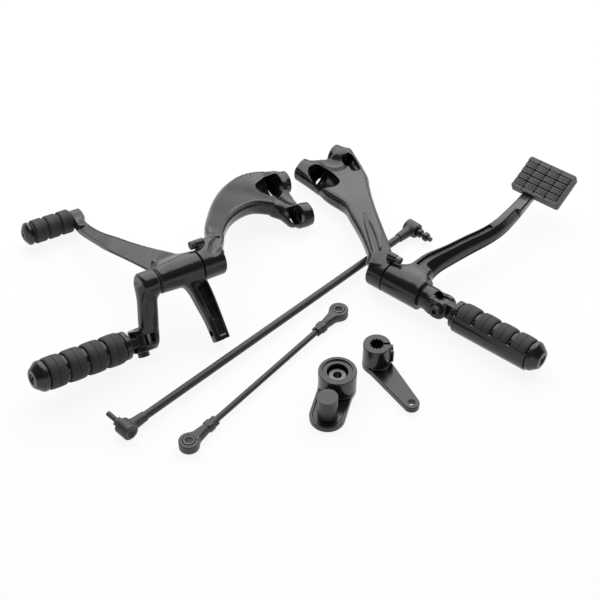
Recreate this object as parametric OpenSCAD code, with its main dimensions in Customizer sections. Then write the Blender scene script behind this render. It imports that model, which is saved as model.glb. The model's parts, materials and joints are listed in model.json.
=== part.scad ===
// Motorcycle forward controls, laid out loose on the floor: the shift side, the brake side,
// a long and a short linkage rod, a relay arm and a splined clamp arm. Millimetres, Z up.

/* [Pivots] */
// Radius of the pivot shafts that carry the levers
shaft_r = 8; // [6:0.5:9]
// Wall of the bronze bushes in the lever hubs
bush_wall = 1.5; // [1:0.25:2]
// Radial running clearance of the pivots
fit = 0.05; // [0.02:0.01:0.1]
// Thickness of the thrust washers beside the lever hubs
washer_t = 1; // [0.8:0.1:1.5]

/* [Shift side] */
// Height of the shift pivot axis above the floor
left_hub_z = 58; // [56:0.5:60]
// Turn of the shift pivot axis on the floor
left_turn = 34.5; // [32:0.5:37]
// Lean of the shift side on the floor, its outer end raised
left_lean = 5.5; // [4:0.25:6.5]
// Length of the shift lever's hub
left_hub_len = 44; // [40:1:46]
// Radius of the shift lever's hub
left_hub_r = 15; // [14:0.5:16]
// Length of the bracket's boss on the shift pivot
left_boss_len = 24; // [22:1:28]

/* [Brake side] */
// Height of the brake pivot axis above the floor
right_hub_z = 16.5; // [16.5:0.5:18]
// Turn of the brake pivot axis on the floor
right_turn = 39.5; // [36:0.5:42]
// Length of the brake lever's hub
right_hub_len = 41; // [38:1:44]
// Radius of the brake lever's hub
right_hub_r = 16.5; // [15:0.5:17]
// Length of the bracket's boss on the brake pivot
right_boss_len = 18; // [17:1:22]

/* [Bracket mounting bosses] */
// Outer radius of a mounting boss
boss_r = 12.5; // [12:0.25:13]
// Radius of the counterbore for the mounting bolt's head
counterbore_r = 10.4; // [9:0.2:10.8]
// Radius of the mounting bolt's hole
bolt_r = 5.2; // [4.2:0.1:5.5]
// Yaw of the mounting bosses away from the pivot axis
boss_yaw = 5; // [3:0.5:7]

/* [Foot pegs] */
// Radius over a peg's rubber pads
pad_r = 15.5; // [15:0.25:16]
// Radius of a peg's metal core under the pads
core_r = 12.6; // [12:0.1:13]
// Width of one rubber pad
pad_w = 16.8; // [16:0.2:17.2]
// Pitch of the pads along the peg
pad_pitch = 20.4; // [20:0.1:21]
// Arc of a peg's metal spine in degrees
spine_arc = 104; // [90:1:120]
// Radius of the clevis and of the fork
fork_r = 12.5; // [12:0.25:13]
// Radius of the clevis screw's shank
pin_r = 3; // [2.5:0.25:3.5]

/* [Shift peg] */
// Radius over the shift peg's rubber rings
shift_ring_r = 12.5; // [11:0.25:12.5]
// Pitch of the shift peg's rubber rings
shift_ring_pitch = 15; // [14:0.25:15]
// Radius of the rubber between the rings
shift_sleeve_r = 10.5; // [9:0.1:10.6]

/* [Brake pad] */
// Width of the brake pad, across the lever
brake_pad_w = 57; // [52:1:60]
// Depth of the brake pad, along the lever
brake_pad_d = 41; // [36:1:42]
// Thickness of the brake pad's rubber
brake_pad_t = 9; // [8:0.5:10]

/* [Linkage rods] */
// Radius of the long rod
long_rod_r = 4; // [3.5:0.25:4.5]
// Radius of the long rod's ball sockets
socket_r = 8; // [7.5:0.25:8.5]
// Radius of the short rod
short_rod_r = 3; // [2.5:0.25:3.5]
// Radius of the short rod's eyes
eye_r = 9.5; // [9:0.25:10.5]
// Radius of the balls in the short rod's eyes
eye_ball_r = 7; // [6.5:0.25:7.25]
// Radius of the holes through those balls
eye_hole_r = 4; // [3:0.25:4.2]

/* [Relay arm] */
// Distance from the relay arm's post to its bore
relay_reach = 37; // [35:0.5:40]
// Radius of the relay arm's hub
relay_hub_r = 18; // [17:0.25:18.5]
// Height of the relay arm's hub
relay_hub_h = 26; // [22:1:28]
// Thickness of the relay arm
relay_t = 6; // [5:0.5:8]
// Radius of the bolt hole in the relay arm's bush
relay_bolt_r = 4.2; // [3.5:0.1:5]

/* [Clamp arm] */
// Distance from the clamp arm's splined bore to its rod hole
clamp_reach = 61; // [58:0.5:64]
// Radius of the clamp arm's hub
clamp_hub_r = 13; // [12:0.25:14]
// Height of the clamp arm's hub
clamp_hub_h = 29; // [27:1:32]
// Thickness of the clamp arm
clamp_t = 6.5; // [5:0.5:8]
// Radius of the splined bore at the bottom of its grooves
spline_r = 6.6; // [6:0.1:7]

/* [Hidden] */

$fn = 64;
gloss_black = "#1c1c1e";
matt_black = "#2b2b2d";
rubber_black = "#38383a";
bronze = "#a8803c";
steel = "#8c8f94";
gap = 0.3;
snug = 0.02;
over = 1;
ring_points = 12;
smooth_steps = 3;

// Where the two pivots stand on the floor, at the seam between lever hub and bracket boss
layout_shift = [-0.62, -15.78, 0];
left_at = layout_shift + [-98, -13, left_hub_z];
right_at = layout_shift + [89, 17, right_hub_z];

// Where the pegs fold in each side's frame, how they lie, and how far the clevis screw leans
left_pivot_at = [-74, -17.8, -49.18];
left_peg_turn = 2;
left_peg_droop = -3.6;
left_pin_lean = 37;
right_pivot_at = [-66.5, -1.5, 0];
right_pin_lean = 105;

// Lengths along a peg, outwards from the clevis screw
collar_at = 15;
pads_at = 20.5;
peg_end = pads_at + 4 * pad_pitch;
cap_len = 11.5;

shift_rubber_len = 3 * shift_ring_pitch + 1;

left_stop_at = [3.5, 14, 15.2];
right_stop_at = [-3.5, 6.8, 20.4];
stop_lug_r = 4.2;
cheek = 11;
clevis_head_r = 5.7;
clevis_nut_r = 4.3;
slot = 10.4;

bush_r = shaft_r + bush_wall;
left_seam = -left_hub_len - 2 * washer_t - 2 * gap;
right_seam = -right_hub_len - 2 * washer_t - 2 * gap;

// Stations of the swept castings: x, y, z, half width, half thickness, in each side's own frame
left_strap = [
    [16, 1, 4, 12, 12],
    [20, 11, 6, 11, 10],
    [31, 19, 4, 8.5, 9],
    [41, 36, 1, 10.4, 8.5],
    [59.5, 57, -5, 12.5, 8.5],
    [82, 76, -11, 17, 9],
    [107, 90.5, -18, 23.5, 9],
    [131.4, 95, -23, 32, 9],
    [152, 91, -27, 35, 9],
    [168, 90, -28, 32.5, 8.5]];
right_strap = [
    [14, 1, 5, 13, 11],
    [18, 8, 10, 12, 9],
    [29, 19, 10, 13, 8.5],
    [47, 33, 8, 13, 8.5],
    [70, 50, 6, 14.5, 8.5],
    [89, 64, 4, 17, 9],
    [114.4, 78, 1, 26, 9],
    [131.4, 88, -1, 30, 9],
    [165.4, 102, -3, 36, 9]];
shift_arm = [
    [-20, 4, -2, 17, 12],
    [-26, 26, -5, 13, 9],
    [-31, 48, -11, 11, 7],
    [-36, 74, -19, 9.5, 6],
    [-40, 97, -26, 8.5, 6],
    [-43, 118, -33, 7.5, 5.5],
    [-44, 139, -40, 7, 5.5],
    [-42, 162, -47, 6, 6],
    [-38, 182, -50, 6, 6.5]];
down_arm = [
    [-12, -6, -4, 11, 9],
    [-9, -16, -12, 10, 8],
    [-7.5, -27, -22, 9.5, 7],
    [-5, -38, -36, 8.5, 6],
    [-4, -53, -52, 8, 5.5]];
peg_arm = [
    [-57.6, 0, 0, 10, 10.5],
    [-59.5, -6, -12, 9.5, 9.5],
    [-62.2, -12.8, -27.2, 9.5, 9.5],
    [-64.3, -17.5, -40.5, 10, 9.5],
    [-64.5, -18.5, -49, 10.5, 10]];
brake_arm = [
    [-20.6, 1.1, 2, 16, 11],
    [-25, 16.1, 6, 12.5, 9],
    [-27.6, 34.1, 9, 11, 8],
    [-34.6, 54.1, 11, 9, 8],
    [-42.6, 76.1, 14, 8.5, 7.5],
    [-50.6, 96.1, 17, 8, 7],
    [-54.6, 115.1, 19, 7.5, 7],
    [-53.4, 139.4, 18, 7, 6.5],
    [-50.3, 163.7, 15.5, 6.5, 5.3],
    [-47.5, 180, 13, 6.5, 4.3],
    [-47.5, 194, 15.5, 6.5, 4]];
brake_arm_notch = [
    [-50.3, 163.7, 15.5, 6.8, 5.6],
    [-47.5, 180, 13, 6.8, 4.6],
    [-47.5, 194, 15.5, 6.8, 4.3]];

// Centres of the mounting bosses' inboard faces: x, y, z in each side's own frame
left_bosses = [[167, 48, -29.6], [177, 105.5, -28.69]];
right_bosses = [[180.5, 81.4, -4], [169.6, 123.6, -4]];
boss_len = 16;
boss_tail = 6;
pocket_floor = 12;
pocket_tilt = 25;

long_rod_ends = [[-156, -175, socket_r], [118, 100, socket_r]];
short_rod_ends = [[-99, -189.5, 5], [38, -22.5, 5]];
relay_at = layout_shift + [25, -156, 0];
relay_turn = 75;
clamp_at = layout_shift + [72, -89, 0];
clamp_turn = -60;

brake_pad_at = [-54.6, 198.5, 23];
brake_pad_pitch = 24;

// Vector helpers and the sweep
function unit(v) = v / norm(v);
function place(row) = [row[0], row[1], row[2]];
function between(a, b, c, d, t) =
    0.5 * (2 * b + (c - a) * t + (2 * a - 5 * b + 4 * c - d) * t * t
    + (3 * b - a - 3 * c + d) * t * t * t);
function smooth(rows) = [
    for (i = [0:len(rows) - 2])
        for (j = [0:smooth_steps - 1])
            between(rows[max(i - 1, 0)], rows[i], rows[i + 1], rows[min(i + 2, len(rows) - 1)],
                    j / smooth_steps),
    rows[len(rows) - 1]];
function squared(c) = sign(c) * pow(abs(c), 0.6);
function ring(row, along, up) =
    let (side = unit(cross(along, up)), top = cross(side, along))
    [for (k = [0:ring_points - 1])
        let (a = 360 * (k + 0.5) / ring_points)
        place(row) + side * row[3] * squared(cos(a)) + top * row[4] * squared(sin(a))];

// A casting's arm, swept through its stations with a rounded-square section
module sweep(rows, up) {
    path = smooth(rows);
    last = len(path) - 1;
    n = ring_points;
    points = [
        for (i = [0:last])
            each ring(path[i], unit(place(path[min(i + 1, last)]) - place(path[max(i - 1, 0)])), up)];
    sides = [
        for (i = [0:last - 1], k = [0:n - 1])
            let (a = i * n + k, b = i * n + (k + 1) % n)
            each [[a, b, a + n], [b, b + n, a + n]]];
    polyhedron(points, concat(
        [[for (k = [n - 1:-1:0]) k]],
        sides,
        [[for (k = [0:n - 1]) last * n + k]]));
}

// A straight cylinder along X from x0 to x1
module bar(x0, x1, r) translate([x0, 0, 0]) rotate([0, 90, 0]) cylinder(h = x1 - x0, r = r);

// A cone along X from radius r0 at x0 to r1 at x1
module taper(x0, x1, r0, r1)
    translate([x0, 0, 0]) rotate([0, 90, 0]) cylinder(h = x1 - x0, r1 = r0, r2 = r1);

// A hex socket cut along X, open towards lower x
module hex_socket(x0, depth, r)
    translate([x0 - over, 0, 0]) rotate([0, 90, 0]) cylinder(h = depth + over, r = r, $fn = 6);

// The frames of the parts
module left_side() translate(left_at) rotate([0, 0, left_turn]) rotate([0, left_lean, 0]) children();
module right_side() translate(right_at) rotate([0, 0, -right_turn]) mirror([1, 0, 0]) children();
module left_peg_place()
    left_side() translate(left_pivot_at) rotate([0, -left_peg_droop, left_peg_turn])
        rotate([-left_pin_lean, 0, 0]) children();
module right_peg_place()
    right_side() translate(right_pivot_at) rotate([-right_pin_lean, 0, 0]) children();

// Brackets
module boss_solids(bosses)
    for (b = bosses) translate(b) rotate([0, 0, -boss_yaw]) {
        bar(-boss_len, 0, boss_r);
        taper(-boss_len - boss_tail, -boss_len + 0.5, boss_r - 4, boss_r);
    }
module boss_bores(bosses)
    for (b = bosses) translate(b) rotate([0, 0, -boss_yaw]) {
        bar(-pocket_floor - 8, -pocket_floor, counterbore_r);
        translate([-pocket_floor - 5, 0, 0]) rotate([0, pocket_tilt, 0]) bar(-60, 0, counterbore_r);
        bar(-pocket_floor - over, over, bolt_r);
    }
module bracket(strap, bosses, boss_length, hub_r, stop_at)
    difference() {
        union() {
            difference() {
                union() {
                    bar(0, boss_length, hub_r);
                    sweep(strap, [0, 0, 1]);
                    boss_solids(bosses);
                }
                translate([-60, -40, -40]) cube([60, 90, 80]);
            }
            translate(stop_at) bar(0, 10, stop_lug_r);
            rotate([atan2(stop_at[2], stop_at[1]), 0, 0])
                translate([max(gap, stop_at[0]), 10, -3]) cube([6, 11, 6]);
        }
        bar(-over, boss_length + over, shaft_r + snug);
        bar(boss_length - 5, boss_length + over, shaft_r + 2);
        boss_bores(bosses);
        translate(stop_at) bar(-over, 8, 2);
    }
module left_bracket()
    color(gloss_black) left_side()
        bracket(left_strap, left_bosses, left_boss_len, left_hub_r + 0.5, left_stop_at);
module right_bracket()
    color(gloss_black) right_side()
        bracket(right_strap, right_bosses, right_boss_len, right_hub_r, right_stop_at);

module stop_bolt(length, r) {
    bar(-length, -snug, r);
    bar(-1, 7, 2 - snug);
}
module left_stop_bolt() color(matt_black) left_side() translate(left_stop_at) stop_bolt(4.4, 4.2);
module right_stop_bolt() color(steel) right_side() translate(right_stop_at) stop_bolt(5, 3.6);

module shaft_screw(boss_length)
    difference() {
        union() {
            bar(boss_length - 5, boss_length - 1, shaft_r + 1.5);
            bar(boss_length - 16, boss_length - 5, 3 - snug);
        }
        translate([boss_length - 3, 0, 0]) rotate([0, 90, 0]) cylinder(h = 3, r = 2.5, $fn = 6);
    }
module left_shaft_screw() color(matt_black) left_side() shaft_screw(left_boss_len);
module right_shaft_screw() color(matt_black) right_side() shaft_screw(right_boss_len);

// Fork that carries a foot peg, in the peg's frame: X inboard, Z along the clevis screw
module fork() {
    bar(6.5, 14, fork_r);
    cylinder(h = 2 * cheek, r = 9.5, center = true);
}
module fork_slot() {
    translate([-20, -20, -slot / 2]) cube([30, 40, slot]);
    cylinder(h = 40, r = pin_r + snug, center = true);
}
module clevis_screw(with_nut)
    difference() {
        union() {
            translate([0, 0, -cheek - 5]) cylinder(h = 5 - snug, r = clevis_head_r);
            translate([0, 0, -cheek - 1]) cylinder(h = 2 * cheek + (with_nut ? 2 : 0), r = pin_r);
            if (with_nut) translate([0, 0, cheek + snug]) cylinder(h = 4.5, r = clevis_nut_r);
        }
        translate([0, 0, -cheek - 6]) cylinder(h = 4, r = 2.6, $fn = 6);
    }

module left_peg_arm()
    color(gloss_black) difference() {
        union() {
            left_side() {
                bar(left_seam - 18, left_seam, left_hub_r - 2);
                bar(left_seam - 1, left_boss_len - 6, shaft_r);
                sweep(peg_arm, [1, 0, 0]);
            }
            left_peg_place() fork();
        }
        left_peg_place() {
            fork_slot();
            translate([0, 0, -cheek - 12]) cylinder(h = 12, r = clevis_head_r + 0.5);
        }
        left_side() bar(left_boss_len - 17, left_boss_len, 3);
    }
module right_peg_mount()
    color(gloss_black) difference() {
        union() {
            right_side() {
                bar(right_pivot_at[0] + 12, right_seam, fork_r);
                bar(right_seam - 1, right_boss_len - 6, shaft_r);
            }
            right_peg_place() fork();
        }
        right_peg_place() fork_slot();
        right_side() bar(right_boss_len - 17, right_boss_len, 3);
    }
module left_clevis_screw() color(matt_black) left_peg_place() clevis_screw(false);
module right_clevis_screw() color(matt_black) right_peg_place() clevis_screw(true);

module thrust_washers(hub_len, r)
    for (x = [-washer_t - snug, -hub_len - 2 * washer_t - 2 * gap + snug])
        translate([x, 0, 0]) difference() {
            bar(0, washer_t, r);
            bar(-over, washer_t + over, shaft_r + snug);
        }
module left_thrust_washers() color(matt_black) left_side() thrust_washers(left_hub_len, 12);
module right_thrust_washers() color(matt_black) right_side() thrust_washers(right_hub_len, 12);

module lever_bushes(hub_len)
    for (x = [-washer_t - gap - 12, -hub_len - washer_t - gap])
        translate([x, 0, 0]) difference() {
            bar(0, 12, bush_r);
            bar(-over, 12 + over, shaft_r + fit);
        }
module shift_lever_bushes() color(bronze) left_side() lever_bushes(left_hub_len);
module brake_lever_bushes() color(bronze) right_side() lever_bushes(right_hub_len);

// Shift lever and its peg
shift_peg_at = [-45, 181.5, -50.25];
module shift_peg_place() left_side() translate(shift_peg_at) children();
module shift_lever()
    color(gloss_black) difference() {
        left_side() {
            taper(-left_hub_len - washer_t - gap, -washer_t - gap, left_hub_r - 2, left_hub_r + 0.5);
            sweep(shift_arm, [0, 0, 1]);
            difference() {
                sweep(down_arm, [0, 1, -1]);
                bar(-washer_t - 2 * gap, 30, left_hub_r + 1.5);
            }
            translate(shift_peg_at) bar(0, 12, 9.5);
        }
        left_side() bar(-left_hub_len - 5, over, bush_r + snug);
        shift_peg_place() bar(-over, 12 + over, 3 + snug);
        shift_peg_place() bar(-8, snug, shift_ring_r + gap);
        left_side() translate([0, -47, -45]) bar(-25, 15, 3);
    }
module shift_peg_sleeve()
    color(matt_black) shift_peg_place() difference() {
        bar(-shift_rubber_len - 1, 0, 6);
        bar(-shift_rubber_len - 1 - over, over, 3 + snug);
    }
module shift_peg_rubber()
    color(rubber_black) shift_peg_place() difference() {
        union() {
            bar(-shift_rubber_len, -0.2, shift_sleeve_r);
            for (i = [0:2]) bar(-13 - shift_ring_pitch * i, -1.5 - shift_ring_pitch * i, shift_ring_r);
        }
        bar(-60, over, 6 + snug);
    }
module shift_peg_cap()
    color(gloss_black) shift_peg_place() difference() {
        intersection() {
            bar(-shift_rubber_len - 9, -shift_rubber_len - 1 - snug, shift_ring_r - 0.5);
            translate([-shift_rubber_len + 7, 0, 0]) sphere(r = 16);
        }
        bar(-shift_rubber_len - 10, -shift_rubber_len, 3 + snug);
        bar(-shift_rubber_len - 10, -shift_rubber_len - 6, 5);
    }
module shift_peg_screw()
    color(matt_black) shift_peg_place() difference() {
        union() {
            bar(-shift_rubber_len - 8, -shift_rubber_len - 6, 4.5);
            bar(-shift_rubber_len - 6, 11, 3);
        }
        hex_socket(-shift_rubber_len - 8, 1.5, 2);
    }

// Brake lever and its pad
module brake_pad_place()
    right_side() translate(brake_pad_at) rotate([brake_pad_pitch, 0, 0]) children();
module brake_lever()
    color(gloss_black) difference() {
        union() {
            right_side() {
                bar(-right_hub_len - washer_t - gap, -washer_t - gap, right_hub_r);
                sweep(brake_arm, [0, 0, 1]);
            }
            brake_pad_place() translate([-brake_pad_w / 2 + 3, -brake_pad_d / 2 + 3, -4])
                cube([brake_pad_w - 6, brake_pad_d - 6, 4]);
        }
        right_side() bar(-right_hub_len - 5, over, bush_r + snug);
    }
module brake_pad_rubber()
    color(rubber_black) difference() {
        brake_pad_place() difference() {
            translate([0, 0, -3]) linear_extrude(brake_pad_t) hull()
                for (x = [-1, 1], y = [-1, 1])
                    translate([x * (brake_pad_w / 2 - 3), y * (brake_pad_d / 2 - 3)]) circle(r = 3);
            translate([-brake_pad_w / 2 + 3 - snug, -brake_pad_d / 2 + 3 - snug, -4 - over])
                cube([brake_pad_w - 6 + 2 * snug, brake_pad_d - 6 + 2 * snug, 4 + over + snug]);
        }
        right_side() sweep(brake_arm_notch, [0, 0, 1]);
    }

// Foot pegs, in the peg's frame
module peg_body(spine_turn)
    difference() {
        union() {
            translate([-collar_at - 2, -7.8, -4.8]) cube([collar_at + 2, 15.6, 9.6]);
            cylinder(h = 9.8, r = 8, center = true);
            bar(-pads_at, -collar_at, 14);
            bar(-peg_end + gap, -collar_at - 1, core_r);
            rotate([spine_turn, 0, 0]) translate([-peg_end, 0, 0]) rotate([0, 90, 0])
                rotate([0, 0, -spine_arc / 2]) rotate_extrude(angle = spine_arc)
                    translate([core_r - 1, 0]) square([pad_r - core_r + 2, peg_end - pads_at - gap]);
        }
        cylinder(h = 40, r = pin_r + fit, center = true);
        bar(-peg_end - over, -peg_end + 20, 3);
    }
module peg_pads(spine_turn)
    for (i = [0:3])
        rotate([spine_turn, 0, 0])
            translate([-pads_at - pad_pitch * (i + 1) + (pad_pitch - pad_w) / 2, 0, 0])
                rotate([0, 90, 0]) rotate([0, 0, spine_arc / 2 + 1])
                    rotate_extrude(angle = 360 - spine_arc - 2)
                        translate([core_r + snug, 0]) difference() {
                            square([pad_r - core_r - snug, pad_w]);
                            translate([pad_r - core_r - 0.6, pad_w / 2 - 0.4]) square([1, 0.8]);
                        }
module peg_cap()
    difference() {
        union() {
            bar(-peg_end - 4, -peg_end - snug, pad_r - 0.6);
            taper(-peg_end - cap_len, -peg_end - 4, 9, pad_r - 0.6);
        }
        bar(-peg_end - cap_len - over, -peg_end - cap_len + 5, 5.2);
        bar(-peg_end - cap_len, -peg_end + over, 3);
    }
module peg_screw()
    difference() {
        union() {
            bar(-peg_end - cap_len + 1, -peg_end - cap_len + 5 - snug, 5);
            bar(-peg_end - cap_len + 4, -peg_end + 18, 3 - snug);
        }
        hex_socket(-peg_end - cap_len + 1, 3, 2.6);
    }
left_spine_turn = 80;
right_spine_turn = 31;
module left_peg_body() color(gloss_black) left_peg_place() peg_body(left_spine_turn);
module left_peg_pads() color(rubber_black) left_peg_place() peg_pads(left_spine_turn);
module left_peg_cap() color(gloss_black) left_peg_place() peg_cap();
module left_peg_screw() color(matt_black) left_peg_place() peg_screw();
module right_peg_body() color(gloss_black) right_peg_place() peg_body(right_spine_turn);
module right_peg_pads() color(rubber_black) right_peg_place() peg_pads(right_spine_turn);
module right_peg_cap() color(gloss_black) right_peg_place() peg_cap();
module right_peg_screw() color(matt_black) right_peg_place() peg_screw();

// Linkage rods, in a frame with X from the near end to the far end
function heading(ends) = atan2(ends[1][1] - ends[0][1], ends[1][0] - ends[0][0]);
long_len = norm(long_rod_ends[1] - long_rod_ends[0]);
short_len = norm(short_rod_ends[1] - short_rod_ends[0]);
module long_place() translate(layout_shift + long_rod_ends[0]) rotate([0, 0, heading(long_rod_ends)]) children();
module short_place() translate(layout_shift + short_rod_ends[0]) rotate([0, 0, heading(short_rod_ends)]) children();
module long_rod() color(matt_black) long_place() bar(10, long_len - 10, long_rod_r);
module socket()
    difference() {
        union() {
            rotate([90, 0, 0]) cylinder(h = 15, r = socket_r, center = true);
            bar(0, 22, 5.4);
        }
        sphere(r = 5 + fit);
        rotate([90, 0, 0]) cylinder(h = 20, r = 4.6);
        bar(10 - snug, 30, long_rod_r + snug);
    }
module stud()
    rotate([-90, 0, 0]) {
        sphere(r = 5);
        cylinder(h = 10, r = 3);
        translate([0, 0, 12]) cylinder(h = 14, r = 2.5);
        translate([0, 0, 9.6]) cylinder(h = 3, r = 5, $fn = 6);
    }
module near_socket() color(matt_black) long_place() mirror([0, 1, 0]) socket();
module near_stud() color(matt_black) long_place() stud();
module far_socket() color(matt_black) long_place() translate([long_len, 0, 0]) mirror([1, 0, 0]) socket();
module far_stud() color(matt_black) long_place() translate([long_len, 0, 0]) mirror([0, 1, 0]) stud();
module far_stud_nut()
    color(matt_black) long_place() translate([long_len, -17, 0]) rotate([90, 0, 0]) difference() {
        cylinder(h = 4, r = 5, $fn = 6);
        translate([0, 0, -over]) cylinder(h = 6, r = 2.52);
    }
module short_rod() color(matt_black) short_place() bar(18, short_len - 18, short_rod_r);
module rod_end()
    difference() {
        union() {
            cylinder(h = 9, r = eye_r, center = true);
            bar(0, 30, 4.6);
        }
        sphere(r = eye_ball_r + fit);
        bar(18 - snug, 31, short_rod_r + snug);
    }
module eye_ball()
    difference() {
        intersection() {
            sphere(r = eye_ball_r);
            cube([20, 20, 10], center = true);
        }
        cylinder(h = 12, r = eye_hole_r, center = true);
    }
module near_rod_end() color(matt_black) short_place() rod_end();
module near_eye_ball() color(steel) short_place() eye_ball();
module far_rod_end() color(matt_black) short_place() translate([short_len, 0, 0]) mirror([1, 0, 0]) rod_end();
module far_eye_ball() color(steel) short_place() translate([short_len, 0, 0]) eye_ball();
module jam_nuts()
    color(matt_black) short_place() for (x = [30 + snug, short_len - 35])
        difference() {
            translate([x, 0, 0]) rotate([0, 90, 0]) rotate([0, 0, 30]) cylinder(h = 5 - snug, r = 5.6, $fn = 6);
            bar(x - over, x + 6, short_rod_r + snug);
        }

// Relay arm
module relay_place() translate(relay_at) rotate([0, 0, relay_turn]) children();
module relay_arm()
    color(gloss_black) relay_place() difference() {
        union() {
            linear_extrude(relay_t) hull() {
                circle(r = 16.7);
                translate([relay_reach, 0]) circle(r = 16.7);
            }
            translate([relay_reach, 0, 0]) cylinder(h = relay_hub_h, r = relay_hub_r);
        }
        translate([relay_reach, 0, 4]) cylinder(h = 40, r = 9.8);
        translate([relay_reach, 0, -over]) cylinder(h = 40, r = 8);
        translate([0, 0, -over]) cylinder(h = 20, r = 5.5);
    }
module relay_bush()
    color(steel) relay_place() translate([relay_reach, 0, 0]) difference() {
        cylinder(h = relay_hub_h - 6, r = 8 - snug);
        translate([0, 0, -over]) cylinder(h = 40, r = relay_bolt_r);
    }
module relay_post()
    color(matt_black) relay_place() difference() {
        union() {
            cylinder(h = relay_t + 1, r = 5.5 - snug);
            translate([0, 0, relay_t + snug]) cylinder(h = 24, r = 9.3);
        }
        translate([0, 0, relay_t + 8]) rotate([90, 0, 0]) cylinder(h = 30, r = 3, center = true);
    }

// Splined clamp arm
module clamp_place() translate(clamp_at) rotate([0, 0, clamp_turn]) children();
module clamp_arm()
    color(gloss_black) clamp_place() difference() {
        union() {
            cylinder(h = clamp_hub_h, r = clamp_hub_r);
            linear_extrude(clamp_t) hull() {
                circle(r = clamp_hub_r - 0.6);
                translate([clamp_reach, 0]) circle(r = 7.5);
            }
            rotate([0, 0, 62]) translate([8, -6, clamp_t + 3]) cube([8, 12, 13]);
        }
        translate([0, 0, -over]) cylinder(h = 40, r = 5.6);
        for (a = [0:30:330]) rotate([0, 0, a]) translate([4, -0.8, -over]) cube([spline_r - 4, 1.6, 40]);
        translate([clamp_reach, 0, -over]) cylinder(h = 12, r = 3.2);
        rotate([0, 0, 62]) translate([0, -1, clamp_t]) cube([30, 2, 40]);
    }

left_bracket();
left_stop_bolt();
left_shaft_screw();
left_peg_arm();
left_thrust_washers();
shift_lever();
shift_lever_bushes();
shift_peg_sleeve();
shift_peg_rubber();
shift_peg_cap();
shift_peg_screw();
left_clevis_screw();
left_peg_body();
left_peg_pads();
left_peg_cap();
left_peg_screw();
right_bracket();
right_stop_bolt();
right_shaft_screw();
right_peg_mount();
right_thrust_washers();
brake_lever();
brake_lever_bushes();
brake_pad_rubber();
right_clevis_screw();
right_peg_body();
right_peg_pads();
right_peg_cap();
right_peg_screw();
long_rod();
near_socket();
near_stud();
far_socket();
far_stud();
far_stud_nut();
short_rod();
near_rod_end();
near_eye_ball();
far_rod_end();
far_eye_ball();
jam_nuts();
relay_arm();
relay_bush();
relay_post();
clamp_arm();
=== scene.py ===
import json
import math
import bpy
import numpy as np
from mathutils import Matrix, Vector


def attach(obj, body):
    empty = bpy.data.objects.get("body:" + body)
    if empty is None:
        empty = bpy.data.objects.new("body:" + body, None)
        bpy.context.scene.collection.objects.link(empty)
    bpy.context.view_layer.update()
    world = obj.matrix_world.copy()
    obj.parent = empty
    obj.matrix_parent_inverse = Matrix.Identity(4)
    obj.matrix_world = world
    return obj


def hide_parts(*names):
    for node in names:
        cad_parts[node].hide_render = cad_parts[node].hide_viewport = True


# motorcycle forward controls laid out loose on a pale floor
# shapes are worked out in millimetres in each part's own frame, then placed in metres
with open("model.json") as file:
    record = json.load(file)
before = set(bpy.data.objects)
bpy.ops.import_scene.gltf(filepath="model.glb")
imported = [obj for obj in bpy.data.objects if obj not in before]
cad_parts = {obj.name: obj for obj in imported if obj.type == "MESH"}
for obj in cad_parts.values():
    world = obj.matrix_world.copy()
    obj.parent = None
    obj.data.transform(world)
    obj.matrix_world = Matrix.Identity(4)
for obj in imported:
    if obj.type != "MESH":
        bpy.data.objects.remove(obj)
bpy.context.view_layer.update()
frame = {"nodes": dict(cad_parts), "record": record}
nodes = frame["nodes"]
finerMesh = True
print("frame loaded:", len(nodes), "nodes")


layoutShift = np.array([-0.62, -15.78, 0.0])


def turned(axis, degrees):
    return np.array(Matrix.Rotation(math.radians(degrees), 3, axis))


class Place:
    # where a part's own frame stands in the layout, in millimetres
    def __init__(self, turn, at):
        self.turn = np.array(turn, float)
        self.at = np.array(at, float)

    def inner(self, at, turn=None):
        turn = np.eye(3) if turn is None else turn
        return Place(self.turn @ turn, self.at + self.turn @ np.array(at, float))

    def toWorld(self, points):
        return (np.asarray(points) @ self.turn.T + self.at) / 1000

    def mirrored(self):
        return np.linalg.det(self.turn) < 0


# where the pegs and the brake pad stand in their own bracket's frame
leftPegAt = np.array([-74, -17.8, -49.18])
leftPegTurn = turned("Z", 2) @ turned("Y", 3.6) @ turned("X", -37)
rightPegAt = np.array([-66.5, -1.5, 0])
rightPegTurn = turned("X", -105)
shiftPegAt = np.array([-45, 181.5, -50.25])
brakePadAt = np.array([-54.6, 198.5, 23])
brakePadTurn = turned("X", 24)

layout = Place(np.eye(3), layoutShift)
leftSide = layout.inner([-98, -13, 58], turned("Z", 34.5) @ turned("Y", 5.5))
rightSide = layout.inner([89, 17, 16.5], turned("Z", -39.5) @ np.diag([-1.0, 1, 1]))
leftPegPlace = leftSide.inner(leftPegAt, leftPegTurn)
rightPegPlace = rightSide.inner(rightPegAt, rightPegTurn)
shiftPegPlace = leftSide.inner(shiftPegAt)
brakePadPlace = rightSide.inner(brakePadAt, brakePadTurn)
relayPlace = layout.inner([25, -156, 0], turned("Z", 75))
clampPlace = layout.inner([72, -89, 0], turned("Z", -60))


def rodPlace(near, far):
    run = np.array(far, float) - np.array(near, float)
    heading = math.degrees(math.atan2(run[1], run[0]))
    return layout.inner(near, turned("Z", heading)), float(np.linalg.norm(run))


longRodPlace, longRodLength = rodPlace([-156, -175, 8], [118, 100, 8])
shortRodPlace, shortRodLength = rodPlace([-99, -189.5, 5], [38, -22.5, 5])

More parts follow.
